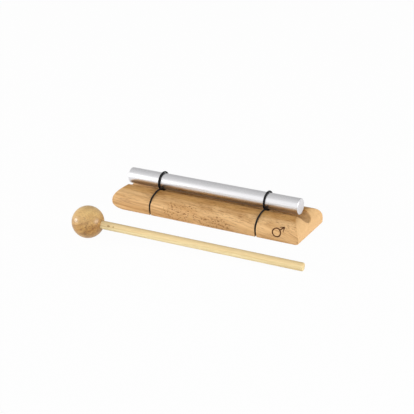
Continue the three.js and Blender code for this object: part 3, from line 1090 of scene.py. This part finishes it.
class MakeChimeMallet(bpy.types.Operator):
    """Make the mallet's ball and stick"""
    bl_idname = "chime.make_mallet"
    bl_label = "Mallet"

    def execute(self, context):
        mallet = context.scene.chime_mallet
        pieces = (
            ("mallet_ball", ball_profile(mallet), ball_wood(mallet), "ball_wood", "mallet_head"),
            ("mallet_dowel", stick_profile(mallet), stick_wood(mallet), "stick_wood", "mallet_stick"),
        )
        for name, profile, material, slot, node in pieces:
            piece = spun(name, profile)
            piece.data.transform(mallet_matrix(mallet))
            shade_smooth(piece)
            dress(piece, material, slot, node)
            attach(piece, "mallet")
        return {"FINISHED"}


FLOOR_SIZE = 8.0
FLOOR_DROP = 0.05 * MM

# How white the floor looks under its shadow, and how bright metal and lacquer show it.
FLOOR_WHITENESS = 0.96
MIRRORED_FLOOR = 0.88

VIEW_AZIMUTH = math.radians(28.8)
VIEW_ELEVATION = math.radians(21.1)
VIEW_DISTANCE = 1000.8 * MM
VIEW_TARGET = Vector((-8.35 * MM, 0, 6.73 * MM))
LENS = 100.0
SENSOR = 36.0

# Name, place in metres, width, height and power of each lamp.
SOFTBOXES = (
    ("key_right", (1.42, 0.1, 0.3), 0.8, 0.5, 12.5),
    ("fill_left", (-1.27, -0.73, 0.2), 0.6, 0.35, 11.0),
)


def floor_material():
    """White paper that keeps a soft shadow."""
    material = bpy.data.materials.new("floor_paper")
    material.use_nodes = True
    material.node_tree.nodes.clear()
    tree = NodeTree(material.node_tree)
    paper = tree.add("ShaderNodeBsdfDiffuse", {"Color": (0.9, 0.9, 0.9, 1)})
    rays = tree.add("ShaderNodeLightPath").outputs
    mirrored = tree.maths("MAXIMUM", rays["Is Glossy Ray"], rays["Is Transmission Ray"])
    bright = tree.between(mirrored, 0.0, 1.0, 1.0, MIRRORED_FLOOR)
    white = tree.add("ShaderNodeEmission", {"Color": (1, 1, 1, 1), "Strength": bright})
    share = tree.times(tree.maths("MAXIMUM", rays["Is Camera Ray"], mirrored), FLOOR_WHITENESS)
    mixed = tree.add("ShaderNodeMixShader", {0: share, 1: paper.outputs[0], 2: white.outputs[0]})
    tree.add("ShaderNodeOutputMaterial", {"Surface": mixed.outputs[0]})
    return material


def studio_world():
    """A white room, seen white by the camera, that lights the front more than the top and the back."""
    world = bpy.data.worlds.new("studio")
    world.use_nodes = True
    world.node_tree.nodes.clear()
    tree = NodeTree(world.node_tree)
    way = tree.add("ShaderNodeTexCoord").outputs["Generated"]
    backward, upward = tree.axes(way)[1:]
    rays = tree.add("ShaderNodeLightPath").outputs
    mirrored = tree.maths("MAXIMUM", rays["Is Glossy Ray"], rays["Is Transmission Ray"])

    # The room is dimmer behind than in front, and lights wood and cord less than metal shows it.
    levels = {"Value": backward, "From Min": 1.0, "From Max": -0.6, "To Min": 0.5, "To Max": 0.8}
    room = tree.add("ShaderNodeMapRange", levels).outputs[0]
    dimmed = tree.times(room, tree.between(mirrored, 0.0, 1.0, 0.62, 1.0))

    # A wide window in front lights most from low down, and metal shows it evenly white.
    low_window = tree.between(upward, 0.5, 0.1, 1.15, 2.5)
    window = tree.add("ShaderNodeMix", {0: mirrored, 2: low_window, 3: 1.03}).outputs[0]
    front = tree.between(backward, -0.47, -0.62)
    level = tree.plus(dimmed, tree.times(front, tree.maths("SUBTRACT", window, dimmed)))
    light = tree.add("ShaderNodeBackground", {"Color": (1, 1, 1, 1), "Strength": level})
    white = tree.add("ShaderNodeBackground", {"Color": (1, 1, 1, 1), "Strength": 1.0})
    shaders = {0: rays["Is Camera Ray"], 1: light.outputs[0], 2: white.outputs[0]}
    mixed = tree.add("ShaderNodeMixShader", shaders)
    tree.add("ShaderNodeOutputWorld", {"Surface": mixed.outputs[0]})
    return world


def add_softbox(name, place, width, height, power):
    """A soft square lamp that faces the middle of the stage."""
    lamp = bpy.data.lights.new(name, "AREA")
    lamp.shape = "RECTANGLE"
    lamp.size = width
    lamp.size_y = height
    lamp.energy = power
    holder = bpy.data.objects.new(name, lamp)
    holder.location = place
    holder.rotation_mode = "QUATERNION"
    holder.rotation_quaternion = (-Vector(place)).to_track_quat("-Z", "Y")
    bpy.context.scene.collection.objects.link(holder)


class MakeChimeStage(bpy.types.Operator):
    """Make the white floor, the soft studio light and the camera"""
    bl_idname = "chime.make_stage"
    bl_label = "Stage"

    def execute(self, context):
        bm = bmesh.new()
        drop = Matrix.Translation((0, 0, -FLOOR_DROP))
        bmesh.ops.create_grid(bm, x_segments=1, y_segments=1, size=FLOOR_SIZE / 2, matrix=drop)
        floor = object_from(bm, "floor")
        floor.data.materials.append(floor_material())

        context.scene.world = studio_world()
        for softbox in SOFTBOXES:
            add_softbox(*softbox)

        camera = bpy.data.objects.new("camera", bpy.data.cameras.new("camera"))
        camera.data.lens = LENS
        camera.data.sensor_width = SENSOR
        flat = math.cos(VIEW_ELEVATION)
        back = Vector((
            math.sin(VIEW_AZIMUTH) * flat, -math.cos(VIEW_AZIMUTH) * flat, math.sin(VIEW_ELEVATION),
        ))
        camera.location = VIEW_TARGET + back * VIEW_DISTANCE
        camera.rotation_mode = "QUATERNION"
        camera.rotation_quaternion = (-back).to_track_quat("-Z", "Y")
        context.scene.collection.objects.link(camera)
        context.scene.camera = camera
        context.scene.view_settings.view_transform = "Standard"
        return {"FINISHED"}


OPERATORS = (MakeChimeStage, MakeChimeBase, MakeChimeBar, MakeChimeCords, MakeChimeMallet)


class ChimePanel(bpy.types.Panel):
    """The chime's settings and the buttons that make its pieces"""
    bl_idname = "VIEW3D_PT_chime"
    bl_label = "Energy chime"
    bl_space_type = "VIEW_3D"
    bl_region_type = "UI"
    bl_category = "Chime"

    def draw(self, context):
        for operator in OPERATORS:
            self.layout.operator(operator.bl_idname)
        for name, settings in SETTINGS.items():
            column = self.layout.column(align=True)
            for key in settings.__annotations__:
                column.prop(getattr(context.scene, name), key)


CLASSES = (*SETTINGS.values(), *OPERATORS, ChimePanel)


def register():
    for item in CLASSES:
        bpy.utils.register_class(item)
    for name, settings in SETTINGS.items():
        setattr(bpy.types.Scene, name, bpy.props.PointerProperty(type=settings))


def unregister():
    for name in SETTINGS:
        delattr(bpy.types.Scene, name)
    for item in reversed(CLASSES):
        bpy.utils.unregister_class(item)


def main():
    register()
    bpy.ops.chime.make_stage()
    bpy.ops.chime.make_base()
    bpy.ops.chime.make_bar()
    bpy.ops.chime.make_cords()
    bpy.ops.chime.make_mallet()


if __name__ == "__main__":
    main()
